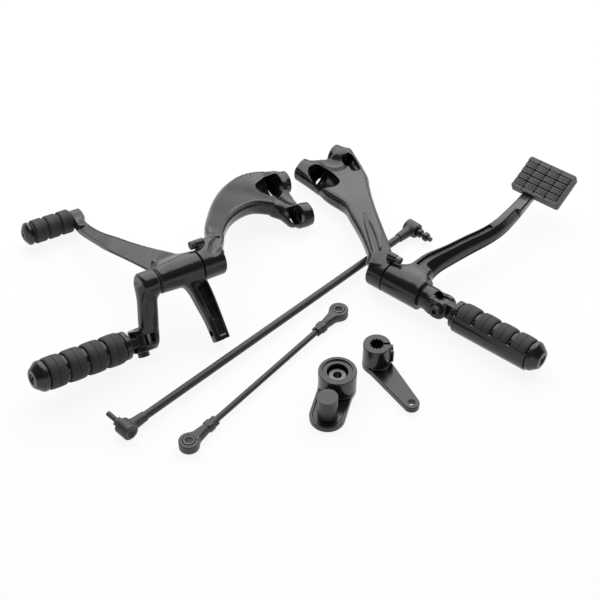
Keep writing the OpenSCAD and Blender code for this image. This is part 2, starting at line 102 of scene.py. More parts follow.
# camera at the photograph's view, 44 degrees above the floor
cameraView = {"distance": 1.3, "elevation": 44.0, "halfFrame": 300 / 1300}
camera = bpy.data.objects.new("photoCamera", bpy.data.cameras.new("photoCamera"))
bpy.context.scene.collection.objects.link(camera)
camera.data.sensor_width = 36
camera.data.lens = 18 / cameraView["halfFrame"]
camera.data.clip_start = 0.05
camera.data.clip_end = 60
tilt = math.radians(cameraView["elevation"])
camera.location = (layoutShift[0] / 1000,
                   layoutShift[1] / 1000 - cameraView["distance"] * math.cos(tilt),
                   cameraView["distance"] * math.sin(tilt))
camera.rotation_euler = (math.pi / 2 - tilt, 0, 0)
bpy.context.scene.camera = camera
print("camera set")


# signed distances, in millimetres; points are rows of an array
def smoothUnion(a, b, blend):
    h = np.clip(0.5 + 0.5 * (b - a) / blend, 0, 1)
    return b * (1 - h) + a * h - blend * h * (1 - h)


def smoothCut(a, b, blend):
    return -smoothUnion(-a, b, blend)


def edged(q, w, edge):
    return (np.minimum(np.maximum(q, w), 0)
            + np.hypot(np.maximum(q, 0), np.maximum(w, 0)) - edge)


def rod(p, a, b, r0, r1=None, edge=0.0):
    a, b = np.array(a, float), np.array(b, float)
    length = np.linalg.norm(b - a)
    axis = (b - a) / length
    t = (p - a) @ axis
    radial = np.linalg.norm(p - a - t[:, None] * axis, axis=1)
    radius = r0 if r1 is None else r0 + (r1 - r0) * np.clip(t / length, 0, 1)
    return edged(radial - radius + edge, np.abs(t - length / 2) - length / 2 + edge, edge)


def bar(p, x0, x1, r0, r1=None, edge=0.0):
    return rod(p, (x0, 0, 0), (x1, 0, 0), r0, r1, edge)


def roundCone(p, a, b, r0, r1):
    a, b = np.array(a, float), np.array(b, float)
    run = b - a
    t = np.clip((p - a) @ run / (run @ run), 0, 1)
    return np.linalg.norm(p - a - t[:, None] * run, axis=1) - (r0 + (r1 - r0) * t)


def chain(p, knots):
    # a run of round cones through x, y, z, radius
    best = None
    for a, b in zip(knots[:-1], knots[1:]):
        d = roundCone(p, a[:3], b[:3], a[3], b[3])
        best = d if best is None else np.minimum(best, d)
    return best


def block(p, centre, half, edge=0.0, turn=None):
    q = p - np.array(centre, float)
    if turn is not None:
        q = q @ turn
    q = np.abs(q) - np.array(half, float) + edge
    return np.minimum(q.max(axis=1), 0) + np.linalg.norm(np.maximum(q, 0), axis=1) - edge


def section(u, v, halfWide, halfHigh, corner):
    qu, qv = np.abs(u) - halfWide + corner, np.abs(v) - halfHigh + corner
    return (np.minimum(np.maximum(qu, qv), 0)
            + np.hypot(np.maximum(qu, 0), np.maximum(qv, 0)) - corner)


def resampled(rows, steps):
    rows = np.array(rows, float)
    out = []
    for i in range(len(rows) - 1):
        a, b = rows[max(i - 1, 0)], rows[i]
        c, d = rows[i + 1], rows[min(i + 2, len(rows) - 1)]
        for j in range(steps):
            t = j / steps
            out.append(0.5 * (2 * b + (c - a) * t + (2 * a - 5 * b + 4 * c - d) * t * t
                              + (3 * b - a - 3 * c + d) * t ** 3))
    out.append(rows[-1])
    return np.array(out)


def between(d, s, start, end, edge):
    # a form kept between two distances along a run, with rounded ends
    middle, reach = (start + end) / 2, (end - start) / 2
    return edged(d + edge, np.abs(s - middle) - reach + edge, edge)


class Strand:
    # a casting's arm through stations x, y, z, half width, half thickness
    def __init__(self, rows, up, steps=4):
        self.path = resampled(rows, steps)
        spots = self.path[:, :3]
        along = np.gradient(spots, axis=0)
        along /= np.linalg.norm(along, axis=1)[:, None]
        side = np.cross(along, np.array(up, float))
        side /= np.linalg.norm(side, axis=1)[:, None]
        self.side, self.top = side, np.cross(side, along)
        steps = np.linalg.norm(np.diff(spots, axis=0), axis=1)
        self.reach = np.concatenate([[0], np.cumsum(steps)])

    def measure(self, p):
        # side and top offsets, half sizes, distance along, and how far past the ends
        spots = self.path[:, :3]
        best = np.full(len(p), 1e9)
        u, v, wide, high, s, past = (np.zeros(len(p)) for _ in range(6))
        last = len(spots) - 2
        for i in range(last + 1):
            run = spots[i + 1] - spots[i]
            length = np.linalg.norm(run)
            raw = (p - spots[i]) @ run / length ** 2
            t = np.clip(raw, 0, 1)
            away = p - spots[i] - t[:, None] * run
            d = np.einsum("ij,ij->i", away, away)
            m = d < best
            best[m] = d[m]
            tm = t[m][:, None]
            side = self.side[i] * (1 - tm) + self.side[i + 1] * tm
            top = self.top[i] * (1 - tm) + self.top[i + 1] * tm
            u[m] = np.einsum("ij,ij->i", away[m], side)
            v[m] = np.einsum("ij,ij->i", away[m], top)
            wide[m] = self.path[i, 3] * (1 - t[m]) + self.path[i + 1, 3] * t[m]
            high[m] = self.path[i, 4] * (1 - t[m]) + self.path[i + 1, 4] * t[m]
            s[m] = self.reach[i] + t[m] * length
            over = np.zeros(int(m.sum()))
            if i == 0:
                over = np.maximum(over, -raw[m] * length)
            if i == last:
                over = np.maximum(over, (raw[m] - 1) * length)
            past[m] = over
        return u, v, wide, high, s, past

    def solid(self, p, share=0.6, measured=None):
        u, v, wide, high, _, past = measured or self.measure(p)
        flat = section(u, v, wide, high, share * np.minimum(wide, high))
        return np.where(past > 0, np.hypot(np.maximum(flat, 0), past), flat)


cornerSteps = np.array([[i, j, k] for i in (0, 1) for j in (0, 1) for k in (0, 1)])
cellEdges = [(0, 1), (2, 3), (4, 5), (6, 7), (0, 2), (1, 3), (4, 6), (5, 7),
             (0, 4), (1, 5), (2, 6), (3, 7)]


def inChunks(shape, points, size=150000):
    return np.concatenate([shape(points[i:i + size]) for i in range(0, len(points), size)])


blockCells = 8  # cells along a side of a block that is worked out as a whole
nearBlocks = 1.35  # blocks closer than this to the surface are worked out cell by cell


def spread(blocks):
    # each block's value given to all its cells
    return blocks.repeat(blockCells, 0).repeat(blockCells, 1).repeat(blockCells, 2)


def netted(shape, low, high, cell):
    # surface nets over a grid that is only worked out near the surface
    low = np.array(low, float)
    blocks = np.ceil((np.array(high, float) - low) / cell / blockCells).astype(int)
    counts = blocks * blockCells + 1
    rows = np.meshgrid(*[np.arange(n) for n in blocks], indexing="ij")
    centres = np.stack(rows, -1).reshape(-1, 3)
    far = inChunks(shape, low + (centres + 0.5) * blockCells * cell).reshape(blocks)
    near = np.abs(far) < blockCells * cell * nearBlocks
    field = np.empty(counts)
    field[:-1, :-1, :-1] = spread(np.sign(far))
    for axis in range(3):
        end = [slice(None)] * 3
        before = [slice(None)] * 3
        end[axis], before[axis] = -1, -2
        field[tuple(end)] = field[tuple(before)]
    wanted = np.zeros(counts, bool)
    fine = spread(near)
    for i, j, k in cornerSteps:
        wanted[i:i + fine.shape[0], j:j + fine.shape[1], k:k + fine.shape[2]] |= fine
    spots = np.argwhere(wanted)
    field[tuple(spots.T)] = inChunks(shape, low + spots * cell)
    inside = field < 0
    shape3 = np.array(field.shape) - 1
    total = np.zeros(shape3, int)
    for i, j, k in cornerSteps:
        total += inside[i:i + shape3[0], j:j + shape3[1], k:k + shape3[2]]
    cells = np.argwhere((total > 0) & (total < 8))
    values = np.stack([field[tuple((cells + c).T)] for c in cornerSteps], 1)
    place = np.zeros((len(cells), 3))
    hits = np.zeros(len(cells))
    for a, b in cellEdges:
        fa, fb = values[:, a], values[:, b]
        cross = (fa < 0) != (fb < 0)
        t = np.where(cross, fa / np.where(cross, fa - fb, 1), 0)[:, None]
        place += cross[:, None] * (cornerSteps[a] * (1 - t) + cornerSteps[b] * t)
        hits += cross
    points = low + (cells + place / hits[:, None]) * cell
    index = -np.ones(shape3, int)
    index[tuple(cells.T)] = np.arange(len(cells))
    faces = []
    for axis in range(3):
        b, c = (axis + 1) % 3, (axis + 2) % 3
        first = [slice(None)] * 3
        second = [slice(None)] * 3
        first[axis], second[axis] = slice(0, -1), slice(1, None)
        for entering in (True, False):
            start, end = inside[tuple(first)], inside[tuple(second)]
            found = np.argwhere(start & ~end if entering else ~start & end)
            found = found[(found[:, b] > 0) & (found[:, c] > 0)
                          & (found[:, b] < shape3[b]) & (found[:, c] < shape3[c])]
            corners = []
            for db, dc in ((-1, -1), (0, -1), (0, 0), (-1, 0)):
                at = found.copy()
                at[:, b] += db
                at[:, c] += dc
                corners.append(index[tuple(at.T)])
            quad = np.stack(corners if entering else corners[::-1], 1)
            faces.append(quad)
    return points, np.concatenate(faces)


def settled(shape, points, cell):
    # moves the points onto the surface and gives its normals and how sharply it turns
    step = 0.25 * cell
    for turn in range(3):
        here = inChunks(shape, points)
        slope = np.zeros_like(points)
        bend = -6 * here
        for axis in range(3):
            ahead = points.copy()
            ahead[:, axis] += step
            behind = points.copy()
            behind[:, axis] -= step
            fa, fb = inChunks(shape, ahead), inChunks(shape, behind)
            slope[:, axis] = (fa - fb) / (2 * step)
            bend += fa + fb
        size = np.maximum(np.einsum("ij,ij->i", slope, slope), 0.05)
        if turn < 2:
            move = np.clip(-here / size, -0.6 * cell, 0.6 * cell)
            points = points + slope * move[:, None]
    normals = slope / np.maximum(np.linalg.norm(slope, axis=1), 1e-6)[:, None]
    return points, normals, bend / step ** 2


def meshFrom(name, points, faces, material):
    mesh = bpy.data.meshes.new(name)
    mesh.from_pydata(points.tolist(), [], faces.tolist() if hasattr(faces, "tolist") else faces)
    mesh.materials.append(material)
    mesh.polygons.foreach_set("use_smooth", np.ones(len(mesh.polygons), bool))
    piece = bpy.data.objects.new(name, mesh)
    bpy.context.scene.collection.objects.link(piece)
    return piece


def finish(piece, body, slot, replaced):
    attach(piece, body)
    if replaced:
        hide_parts(*replaced)
    print("made", piece.name, len(piece.data.polygons), "faces")
    return piece


castLook = {"quickCell": 1.6, "edgeWear": 1.2}


def cast(name, shape, place, low, high, cell, finishOf, body, replaced):
    # one casting, from its distance function to a placed mesh
    cell = cell if finerMesh else cell * castLook["quickCell"]
    points, faces = netted(shape, low, high, cell)
    points, normals, bend = settled(shape, points, cell)
    if place.mirrored():
        faces = faces[:, ::-1]
    slot, material = finishOf
    piece = meshFrom(name, place.toWorld(points), faces, material)
    worn = piece.data.attributes.new("wornEdge", "FLOAT", "POINT")
    worn.data.foreach_set("value", np.clip(bend * castLook["edgeWear"], 0, 1).astype(np.float32))
    piece.data.normals_split_custom_set_from_vertices((normals @ place.turn.T).tolist())
    return finish(piece, body, slot, replaced)


# finishes
class Value:
    # a shader socket that takes part in sums
    def __init__(self, finish, socket):
        self.finish, self.socket = finish, socket

    def reckon(self, operation, other, swapped=False):
        pair = [other, self] if swapped else [self, other]
        return self.finish.add("ShaderNodeMath", {"operation": operation}, pair)[0]

    def __add__(self, other):
        return self.reckon("ADD", other)

    def __sub__(self, other):
        return self.reckon("SUBTRACT", other)

    def __mul__(self, other):
        return self.reckon("MULTIPLY", other)

    def __radd__(self, other):
        return self.reckon("ADD", other, True)

    def __rsub__(self, other):
        return self.reckon("SUBTRACT", other, True)

    def __rmul__(self, other):
        return self.reckon("MULTIPLY", other, True)

    def atMost(self, other):
        return self.reckon("MINIMUM", other)

    def atLeast(self, other):
        return self.reckon("MAXIMUM", other)


class Finish:
    # a material's or the world's node tree
    def __init__(self, tree):
        self.tree = tree
        self.tree.nodes.clear()

    def noise(self, spot, scale, detail):
        return self.add("ShaderNodeTexNoise", None,
                        {"Vector": spot, "Scale": scale, "Detail": detail})[0]

    def bumped(self, height, strength, distance):
        return self.add("ShaderNodeBump", None,
                        {"Strength": strength, "Distance": distance, "Height": height})[0]

    def add(self, kind, settings=None, sockets=None):
        node = self.tree.nodes.new(kind)
        for key, value in (settings or {}).items():
            if key == "stops":
                for element, (place, grey) in zip(node.color_ramp.elements, value):
                    element.position = place
                    element.color = (grey, grey, grey, 1)
            else:
                setattr(node, key, value)
        entries = sockets.items() if isinstance(sockets, dict) else enumerate(sockets or [])
        for key, value in entries:
            if isinstance(value, Value):
                self.tree.links.new(value.socket, node.inputs[key])
            else:
                node.inputs[key].default_value = value
        return [Value(self, out) for out in node.outputs]


def newFinish(name, build):
    material = bpy.data.materials.new(name)
    material.use_nodes = True
    finish = Finish(material.node_tree)
    surface = build(finish)
    finish.add("ShaderNodeOutputMaterial", None, {"Surface": surface})
    return material


def grey(level):
    return (level, level, level * 1.02, 1)


def coated(look):
    # paint with a fine skin texture, uneven gloss and slightly rubbed edges
    def build(finish):
        spot = finish.add("ShaderNodeTexCoord")[3]
        skin = finish.noise(spot, look["skinScale"], 2.0)
        cloud = finish.noise(spot, 45.0, 4.0)
        worn = finish.add("ShaderNodeAttribute", {"attribute_name": "wornEdge"})[2]
        rubbed = (worn * cloud * look["wear"]).atMost(1.0)
        colour = finish.add("ShaderNodeMix", {"data_type": "RGBA"},
                            {0: rubbed, 6: grey(look["dark"]), 7: grey(look["rubbed"])})[2]
        bump = finish.bumped(skin, look["bump"], 0.0004)
        return finish.add("ShaderNodeBsdfPrincipled", None, {
            "Base Color": colour, "Metallic": 0.0, "Specular IOR Level": look["specular"],
            "Roughness": look["roughness"] + look["uneven"] * (cloud - 0.5), "Normal": bump})[0]
    return build


def bareMetal(look):
    # uncoated metal, clouded by handling
    def build(finish):
        spot = finish.add("ShaderNodeTexCoord")[3]
        cloud = finish.noise(spot, 160.0, 5.0)
        colour = finish.add("ShaderNodeMix", {"data_type": "RGBA"},
                            {0: cloud, 6: look["low"], 7: look["high"]})[2]
        bump = finish.bumped(cloud, 0.15, 0.0002)
        return finish.add("ShaderNodeBsdfPrincipled", None, {
            "Base Color": colour, "Metallic": 1.0,
            "Roughness": look["roughness"] + 0.2 * (cloud - 0.5), "Normal": bump})[0]
    return build


finishLooks = {
    "gloss": {"dark": 0.012, "rubbed": 0.06, "wear": 0.5, "specular": 0.5, "roughness": 0.2,
              "uneven": 0.16, "skinScale": 420.0, "bump": 0.05},
    "matt": {"dark": 0.03, "rubbed": 0.1, "wear": 0.6, "specular": 0.5, "roughness": 0.42,
             "uneven": 0.2, "skinScale": 900.0, "bump": 0.05},
    "rubber": {"dark": 0.034, "rubbed": 0.06, "wear": 0.8, "specular": 0.35, "roughness": 0.62,
               "uneven": 0.2, "skinScale": 1500.0, "bump": 0.25},
    "tread": {"dark": 0.075, "rubbed": 0.1, "wear": 0.8, "specular": 0.4, "roughness": 0.55,
              "uneven": 0.2, "skinScale": 1500.0, "bump": 0.15},
    "steel": {"low": (0.08, 0.08, 0.082, 1), "high": (0.17, 0.17, 0.175, 1), "roughness": 0.45},
    "bronze": {"low": (0.5, 0.33, 0.14, 1), "high": (0.62, 0.43, 0.2, 1), "roughness": 0.36},
}
glossBlack = ("gloss_black", newFinish("glossBlackCoat", coated(finishLooks["gloss"])))
mattBlack = ("matt_black", newFinish("mattBlackSteel", coated(finishLooks["matt"])))
rubberBlack = ("rubber_black", newFinish("blackRubber", coated(finishLooks["rubber"])))
treadRubber = ("rubber_black", newFinish("brakePadRubber", coated(finishLooks["tread"])))
bareSteel = ("steel", newFinish("bareSteel", bareMetal(finishLooks["steel"])))
bareBronze = ("bronze", newFinish("bareBronze", bareMetal(finishLooks["bronze"])))
bySlot = dict([glossBlack, mattBlack, rubberBlack, bareSteel, bareBronze])
for part in frame["record"]["subparts"]:
    mesh = nodes[part["node"]].data
    mesh.materials.clear()
    mesh.materials.append(bySlot[part["material_slot"]])
print("finishes made")

# brackets, each a strap from the peg's hub to two mounting bosses
leftBracket = {
    "strap": [[16, 1, 4, 12, 12], [20, 11, 6, 11, 10], [31, 19, 4, 8.5, 9], [41, 36, 1, 10.4, 8.5],
              [59.5, 57, -5, 12.5, 8.5], [82, 76, -11, 17, 9], [107, 90.5, -18, 23.5, 9],
              [131.4, 95, -23, 32, 9], [152, 91, -27, 35, 9], [168, 90, -28, 32.5, 8.5]],
    "bosses": [(167, 48, -29.6), (177, 105.5, -28.69)],
    "pockets": [[(157, 47.5, -27, 10.2), (147, 45.5, -22, 10.2), (140, 45, -13, 10.5)],
                [(168, 106, -27.5, 10.4), (154, 99.5, -22.5, 13), (143, 92, -19, 14)]],
    "tails": [[(141, 66, -27, 8), (147, 48, -29, 10), (158, 48.5, -29.4, 12)],
              [(140, 108, -26, 6), (163, 107, -28.7, 12)]],
    "saddle": [(168, 72, 1), 31.5],
    "cored": [[(15, -4, 20, 7.5), (22, 4, 18.5, 7.5), (31, 14, 15, 4)]],
    "bossLength": 24, "hub": 15.5, "stop": (3.5, 14, 15.2),
}
rightBracket = {
    "strap": [[14, 1, 5, 13, 11], [18, 8, 10, 12, 9], [29, 19, 10, 13, 8.5], [47, 33, 8, 13, 8.5],
              [70, 50, 6, 14.5, 8.5], [89, 64, 4, 17, 9], [114.4, 78, 1, 26, 9],
              [131.4, 88, -1, 30, 9], [165.4, 102, -3, 36, 9]],
    "bosses": [(180.5, 81.4, -4), (169.6, 123.6, -4)],
    "pockets": [[(168, 81.5, -4, 10.2), (154, 79, 0, 13), (135, 71.5, 4.5, 12.5)],
                [(157, 124, -4, 9.8), (147, 121, 0, 8.2), (127, 109, 5, 5.5)]],
    "tails": [[(128, 70, -4, 7), (166, 81.5, -4, 12)], [(130, 116, -4, 7), (155, 124.5, -4, 12)]],
    "saddle": [(153, 104, 27), 26],
    "cored": [[(68, 47, 15.5, 1.6), (50, 32, 17.5, 4.4), (36, 20, 18.5, 5.2), (23, 8, 18.5, 5)]],
    "flank": [(40, 35.5, 15.5), (0.715, 0.699), 27, (-30, 40)],
    "bossLength": 18, "hub": 16.5, "stop": (-3.5, 6.8, 20.4),
}
bossAxis = np.array([math.cos(math.radians(5)), -math.sin(math.radians(5)), 0])
bossLook = {"radius": 12.5, "long": 16, "well": 10.4, "wellStart": 22, "wellEnd": 12, "hole": 5.2}
hubLook = {"bore": 8.02, "recess": 10, "recessDeep": 5}


def slope(p, spot, along, lean, run):
    # the space above a face that leans down to one side of a line
    q = p - np.array(spot, float)
    t = q[:, 0] * along[0] + q[:, 1] * along[1]
    across = q[:, 1] * along[0] - q[:, 0] * along[1]
    lean = math.radians(lean)
    above = across * math.sin(lean) + q[:, 2] * math.cos(lean)
    return between(-above, t, *run, 5)


def bracketShape(build):
    strand = Strand(build["strap"], (0, 0, 1), 8)

    def shape(p):
        d = strand.solid(p, 0.72)
        saddleAt, saddleRadius = build["saddle"]
        d = smoothCut(d, np.linalg.norm(p - np.array(saddleAt, float), axis=1) - saddleRadius, 2)
        for spot, tail in zip(build["bosses"], build["tails"]):
            spot = np.array(spot, float)
            boss = rod(p, spot - bossLook["long"] * bossAxis, spot, bossLook["radius"], edge=1.3)
            boss = smoothUnion(boss, chain(p, tail), 4)
            boss = np.maximum(boss, (p - spot) @ bossAxis)
            d = smoothUnion(d, boss, 5)
        hub = bar(p, -4, build["bossLength"], build["hub"], edge=1.6)
        d = smoothUnion(d, hub, 5)
        for knots in build["cored"]:
            d = smoothCut(d, chain(p, knots), 1.6)
        if "flank" in build:
            d = smoothCut(d, slope(p, *build["flank"]), 2.5)
        d = np.maximum(d, -p[:, 0])
        stop = np.array(build["stop"], float)
        lug = rod(p, stop, stop + (10, 0, 0), 4.2, edge=0.8)
        start = max(0.3, stop[0])
        out = np.array([0, stop[1], stop[2]]) / math.hypot(stop[1], stop[2])
        web = rod(p, (start + 3.5, *(out[1:] * 10)), (start + 3.5, *(out[1:] * 20)), 3.4, edge=0.5)
        web = np.maximum(web, start - p[:, 0])
        d = smoothUnion(d, smoothUnion(lug, web, 1.5), 1.5)
        for spot, pocket in zip(build["bosses"], build["pockets"]):
            spot = np.array(spot, float)
            well = rod(p, spot - bossLook["wellStart"] * bossAxis,
                       spot - bossLook["wellEnd"] * bossAxis, bossLook["well"], edge=0.6)
            hollow = np.maximum(chain(p, pocket), (p - spot) @ bossAxis + bossLook["wellEnd"])
            d = smoothCut(d, smoothUnion(hollow, well, 1), 1.2)
            hole = rod(p, spot - 14 * bossAxis, spot + 2 * bossAxis, bossLook["hole"])
            d = smoothCut(d, hole, 0.6)
        end = build["bossLength"]
        d = smoothCut(d, bar(p, -5, end + 2, hubLook["bore"]), 0.4)
        d = smoothCut(d, bar(p, end - hubLook["recessDeep"], end + 2, hubLook["recess"]), 0.5)
        return smoothCut(d, rod(p, stop - (3, 0, 0), stop + (8, 0, 0), 2), 0.3)
    return shape


cast("leftBracketCasting", bracketShape(leftBracket), leftSide,
     (-2, -20, -46), (182, 132, 26), 1.0, glossBlack, "fixed_parts", ["left_bracket"])
cast("rightBracketCasting", bracketShape(rightBracket), rightSide,
     (-6, -20, -20), (185, 145, 30), 1.0, glossBlack, "fixed_parts", ["right_bracket"])

# shift lever
shiftLever = {
    "arm": [[-20, 4, -2, 17, 12], [-26, 26, -5, 13, 9], [-31, 48, -11, 11, 7],
            [-36, 74, -19, 9.5, 6], [-40, 97, -26, 8.5, 6], [-43, 118, -33, 7.5, 5.5],
            [-44, 139, -40, 7, 5.5], [-42, 162, -47, 6, 6], [-38, 182, -50, 6, 6.5]],
    "downArm": [[-12, -6, -4, 11, 9], [-9, -16, -12, 10, 8], [-7.5, -27, -22, 9.5, 7],
                [-5, -38, -36, 8.5, 6], [-4, -53, -52, 8, 5.5]],
    "panelLean": 27, "panelStart": 24, "panelEnd": 158, "rim": 3.2,
    "channelDepth": 6.0, "channelStart": 10, "channelEnd": 4,
}


def shiftLeverShape():
    arm = Strand(shiftLever["arm"], (0, 0, 1))
    down = Strand(shiftLever["downArm"], (0, 1, -1))

    def shape(p):
        measured = arm.measure(p)
        u, v, wide, high, s, _ = measured
        d = arm.solid(p, 0.62, measured)
        lean = math.radians(shiftLever["panelLean"])
        rim = wide - shiftLever["rim"]
        panel = (rim - u) * -math.sin(lean) - (v - high + 0.6) * math.cos(lean)
        panel = np.maximum(panel, u - wide + shiftLever["rim"])
        panel = between(panel, s, shiftLever["panelStart"], shiftLever["panelEnd"], 4)
        hub = bar(p, -45.3, -1.3, 13, 15.5, edge=0.8)
        body = smoothUnion(d, hub, 9)
        measured = down.measure(p)
        u, v, wide, high, s, _ = measured
        tail = down.solid(p, 0.5, measured)
        body = smoothUnion(body, tail, 4)
        body = smoothCut(body, panel, 0.8)
        end = down.reach[-1]
        depth = shiftLever["channelDepth"] - 4.5 * np.clip((s - 32) / 18, 0, 1)
        channel = section(u - 1.4, v + high, wide - 4.2, depth, 1.2)
        channel = between(channel, s, shiftLever["channelStart"], end - shiftLever["channelEnd"], 2)
        body = smoothCut(body, channel, 1.0)
        boss = rod(p, shiftPegAt, shiftPegAt + (12, 0, 0), 9.5, edge=1)
        body = smoothUnion(body, boss, 4)
        clear = rod(p, (-1.6, 0, 0), (30, 0, 0), 17)
        body = np.maximum(body, -clear)
        body = np.maximum(body, p[:, 0] + 1.3 - 20 * (np.hypot(p[:, 1], p[:, 2]) > 17))
        body = np.maximum(body, -47.5 - p[:, 0] + 2.2 * (p[:, 1] < 24))
        body = smoothCut(body, bar(p, -60, 5, 9.52), 0.4)
        body = smoothCut(body, rod(p, shiftPegAt - (5, 0, 0), shiftPegAt + (15, 0, 0), 3.02), 0.3)
        return smoothCut(body, rod(p, (-25, -47, -45), (15, -47, -45), 3), 0.4)
    return shape


cast("shiftLeverCasting", shiftLeverShape(), leftSide, (-54, -62, -62), (12, 194, 20), 0.9,
     glossBlack, "shift_lever", ["shift_lever"])

# brake lever
brakeLever = {
    "arm": [[-20.6, 1.1, 2, 16, 11], [-25, 16.1, 6, 12.5, 9], [-27.6, 34.1, 9, 11, 8],
            [-34.6, 54.1, 11, 9, 8], [-42.6, 76.1, 14, 8.5, 7.5], [-50.6, 96.1, 17, 8, 7],
            [-54.6, 115.1, 19, 7.5, 7], [-53.4, 139.4, 18, 7, 6.5], [-50.3, 163.7, 15.5, 6.5, 5.3],
            [-47.5, 180, 13, 6.5, 4.3], [-47.5, 194, 15.5, 6.5, 4]],
    "lean": 48, "channelDepth": 2.0, "channelStart": 24, "channelEnd": 150, "flange": 2.0,
    "grooveStart": 20, "grooveEnd": 110,
}
plateHalf = np.array([25.5, 17.5, 2.0])


def brakeLeverShape():
    arm = Strand(brakeLever["arm"], (0, 0, 1))

    def shape(p):
        measured = arm.measure(p)
        u, v, wide, high, s, _ = measured
        d = arm.solid(p, 0.5, measured)
        d = smoothUnion(d, bar(p, -42.3, -1.3, 16.5, edge=0.8), 7)
        depth = brakeLever["channelDepth"] * np.clip((brakeLever["channelEnd"] - s) / 60, 0.3, 1)
        channel = section(u + wide, v + 0.3, depth, high - brakeLever["flange"], 1.4)
        side = brakeLever["channelStart"], brakeLever["channelEnd"]
        d = smoothCut(d, between(channel, s, *side, 2), 0.8)
        lean = math.radians(brakeLever["lean"])
        flank = (u + 0.1 * wide) * math.sin(lean) - (v - high) * math.cos(lean)
        d = smoothCut(d, between(flank, s, *side, 3), 1.5)
        groove = section(u - 0.35 * wide, v - high, 2.4, 3.4, 1.2)
        groove = between(groove, s, brakeLever["grooveStart"], brakeLever["grooveEnd"], 0.5)
        d = smoothCut(d, groove, 1.2)
        q = (p - brakePadAt) @ brakePadTurn
        plate = block(q, (0, 0, -2), plateHalf, edge=1.5)
        d = smoothUnion(d, plate, 1.5)
        nearPivot = np.hypot(p[:, 1], p[:, 2]) < 17.2
        d = np.maximum(d, np.where(nearPivot, np.abs(p[:, 0] + 21.8) - 20.5, -9))
        return smoothCut(d, bar(p, -60, 5, 9.52), 0.4)
    return shape


cast("brakeLeverCasting", brakeLeverShape(), rightSide, (-84, -20, -20), (0, 222, 36), 0.9,
     glossBlack, "brake_lever", ["brake_lever"])

# arms and forks that carry the foot pegs
pegArm = {
    "arm": [[-57.6, 0, 0, 10, 10.5], [-59.5, -6, -12, 9.5, 9.5], [-62.2, -12.8, -27.2, 9.5, 9.5],
            [-64.3, -17.5, -40.5, 10, 9.5], [-64.5, -18.5, -49, 10.5, 10]],
    "fork": 12.5, "cheek": 11, "slot": 5.2, "pin": 3.02,
}


def forkParts(q):
    # q in the peg's frame: X inboard, Z along the clevis screw
    solid = bar(q, 6.5, 14, pegArm["fork"], edge=1.0)
    cheeks = rod(q, (0, 0, -pegArm["cheek"]), (0, 0, pegArm["cheek"]), 9.5, edge=1.2)
    bridge = block(q, (5, 0, 0), (6, 9.2, 10.8), edge=2)
    cut = np.maximum(np.abs(q[:, 2]) - pegArm["slot"], q[:, 0] - 10)
    cut = np.minimum(cut, rod(q, (0, 0, -30), (0, 0, 30), pegArm["pin"]))
    return smoothUnion(smoothUnion(solid, cheeks, 2), bridge, 1), cut


def leftPegArmShape():
    arm = Strand(pegArm["arm"], (1, 0, 0))

    def shape(p):
        d = arm.solid(p, 0.9)
        d = smoothUnion(d, bar(p, -64.6, -46.6, 13, edge=3.5), 5)
        d = np.maximum(d, p[:, 0] + 46.6)
        q = (p - leftPegAt) @ leftPegTurn
        solid, cut = forkParts(q)
        d = smoothUnion(d, solid, 4)
        d = np.minimum(d, bar(p, -48, 18, 8))
        d = smoothCut(d, cut, 0.6)
        d = smoothCut(d, rod(q, (0, 0, -23), (0, 0, -11), 6.2), 0.5)
        d = smoothCut(d, rod(q, (0, 0, 11), (0, 0, 18), 4.8), 0.5)
        return smoothCut(d, bar(p, 7, 30, 3), 0.3)
    return shape


def rightPegMountShape():
    def shape(p):
        q = (p - rightPegAt) @ rightPegTurn
        solid, cut = forkParts(q)
        d = smoothUnion(solid, bar(p, -56, -43.6, 12.5, edge=1.2), 1)
        d = np.minimum(d, bar(p, -46, 12, 8))
        d = smoothCut(d, cut, 0.6)
        return smoothCut(d, bar(p, 1, 30, 3), 0.3)
    return shape


cast("leftPegArmCasting", leftPegArmShape(), leftSide, (-86, -34, -64), (20, 16, 16), 0.8,
     glossBlack, "fixed_parts", ["left_peg_arm"])
cast("rightPegMountCasting", rightPegMountShape(), rightSide, (-78, -16, -15), (14, 13, 15), 0.7,
     glossBlack, "fixed_parts", ["right_peg_mount"])

# foot pegs
pegLook = {
    "collar": 14, "core": 12.6, "spine": 16.5, "spineArc": 104, "start": -20.5, "end": -101.8,
    "padPitch": 20.4, "padWide": 16.8, "padRadius": 15.5, "fingerArc": 17, "finger": 0.9,
    "capRadius": 14.9, "capTip": 9, "capStart": -102.1, "capEnd": -113.6, "recess": 5.2,
}


def spineCentre(turn):
    return np.array([math.sin(math.radians(turn)), -math.cos(math.radians(turn))])


